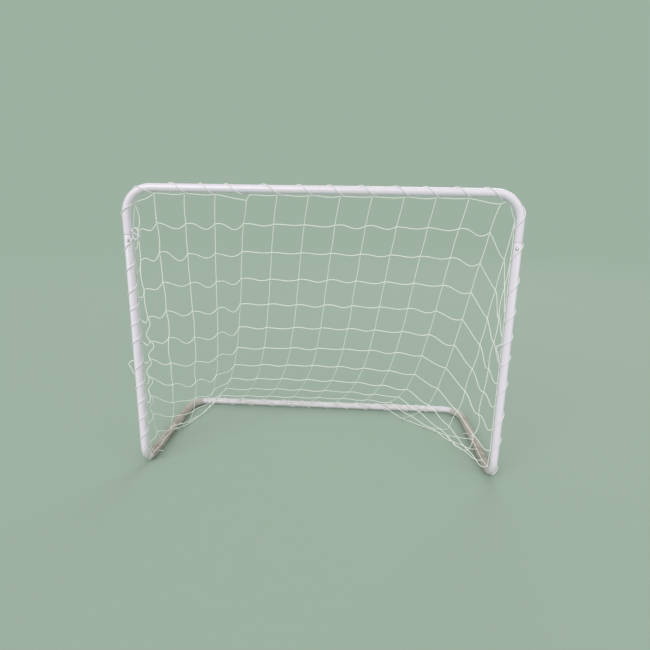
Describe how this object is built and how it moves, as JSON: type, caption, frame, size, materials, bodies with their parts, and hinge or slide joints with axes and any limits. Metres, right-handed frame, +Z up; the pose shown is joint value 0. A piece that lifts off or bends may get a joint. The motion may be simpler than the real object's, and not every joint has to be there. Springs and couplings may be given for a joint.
{
  "type": "portable goal",
  "caption": "Knock-down goal of bent white steel tube, joined by spring-button plug joints, with a slanting square-mesh cord net laced to its frame.",
  "frame": {"origin": "middle of the footprint, on the floor the goal stands on, without the loose cord ends", "axes": "+X along the crossbar to the right seen from the front, +Y from the mouth to the back bar, +Z up"},
  "size_m": [1.2209, 0.5765, 0.9431],
  "materials": {
    "paint": "white powder coat on steel tube, satin",
    "spring_steel": "zinc plated spring steel, satin",
    "net_cord": "twisted white polyethylene net cord",
    "lacing_cord": "twisted white lacing cord",
    "rail_winding": "soiled lacing cord wound on the floor legs"
  },
  "bodies": {
    "goal": {"top_tube": "paint", "rear_tube": "paint", "side_tube_left": "paint", "side_tube_right": "paint", "clip_spring_top_left": "spring_steel", "clip_spring_top_right": "spring_steel", "clip_spring_rear_left": "spring_steel", "clip_spring_rear_right": "spring_steel", "lacing_crossbar": "lacing_cord", "lacing_back_bar": "lacing_cord", "lacing_post_left": "lacing_cord", "lacing_post_right": "lacing_cord", "lacing_rail_left": "rail_winding", "lacing_rail_right": "rail_winding", "lacing_hank": "lacing_cord", "lacing_bight_left": "lacing_cord", "lacing_bight_right": "lacing_cord", "net_left_edge_upper": "net_cord", "net_left_edge_middle": "net_cord", "net_left_edge_lower": "net_cord", "net_left_upper": "net_cord", "net_left_middle": "net_cord", "net_left_lower": "net_cord", "net_back_left_upper": "net_cord", "net_back_left_middle": "net_cord", "net_back_left_lower": "net_cord", "net_back_right_upper": "net_cord", "net_back_right_middle": "net_cord", "net_back_right_lower": "net_cord", "net_right_upper": "net_cord", "net_right_middle": "net_cord", "net_right_lower": "net_cord", "net_right_edge_upper": "net_cord", "net_right_edge_middle": "net_cord", "net_right_edge_lower": "net_cord"},
    "button_top_left": {"clip_button_top_left": "spring_steel"},
    "button_top_right": {"clip_button_top_right": "spring_steel"},
    "button_rear_left": {"clip_button_rear_left": "spring_steel"},
    "button_rear_right": {"clip_button_rear_right": "spring_steel"}
  },
  "joints": [
    {"name": "press_top_left", "type": "hinge", "parent": "goal", "child": "button_top_left", "pos_m": [-0.58446, -0.27984, 0.8069], "axis": [0.9239, 0.3827, 0], "range_deg": [0, 6], "stiffness_Nm_per_rad": 2, "springref_deg": -2.86},
    {"name": "press_top_right", "type": "hinge", "parent": "goal", "child": "button_top_right", "pos_m": [0.58446, -0.27984, 0.8069], "axis": [0.9239, -0.3827, 0], "range_deg": [0, 6], "stiffness_Nm_per_rad": 2, "springref_deg": -2.86},
    {"name": "press_rear_left", "type": "hinge", "parent": "goal", "child": "button_rear_left", "pos_m": [-0.5875, 0.0334, 0.02345], "axis": [1, 0, 0], "range_deg": [0, 6], "stiffness_Nm_per_rad": 2, "springref_deg": -2.86},
    {"name": "press_rear_right", "type": "hinge", "parent": "goal", "child": "button_rear_right", "pos_m": [0.5875, 0.0334, 0.02345], "axis": [1, 0, 0], "range_deg": [0, 6], "stiffness_Nm_per_rad": 2, "springref_deg": -2.86}
  ]
}
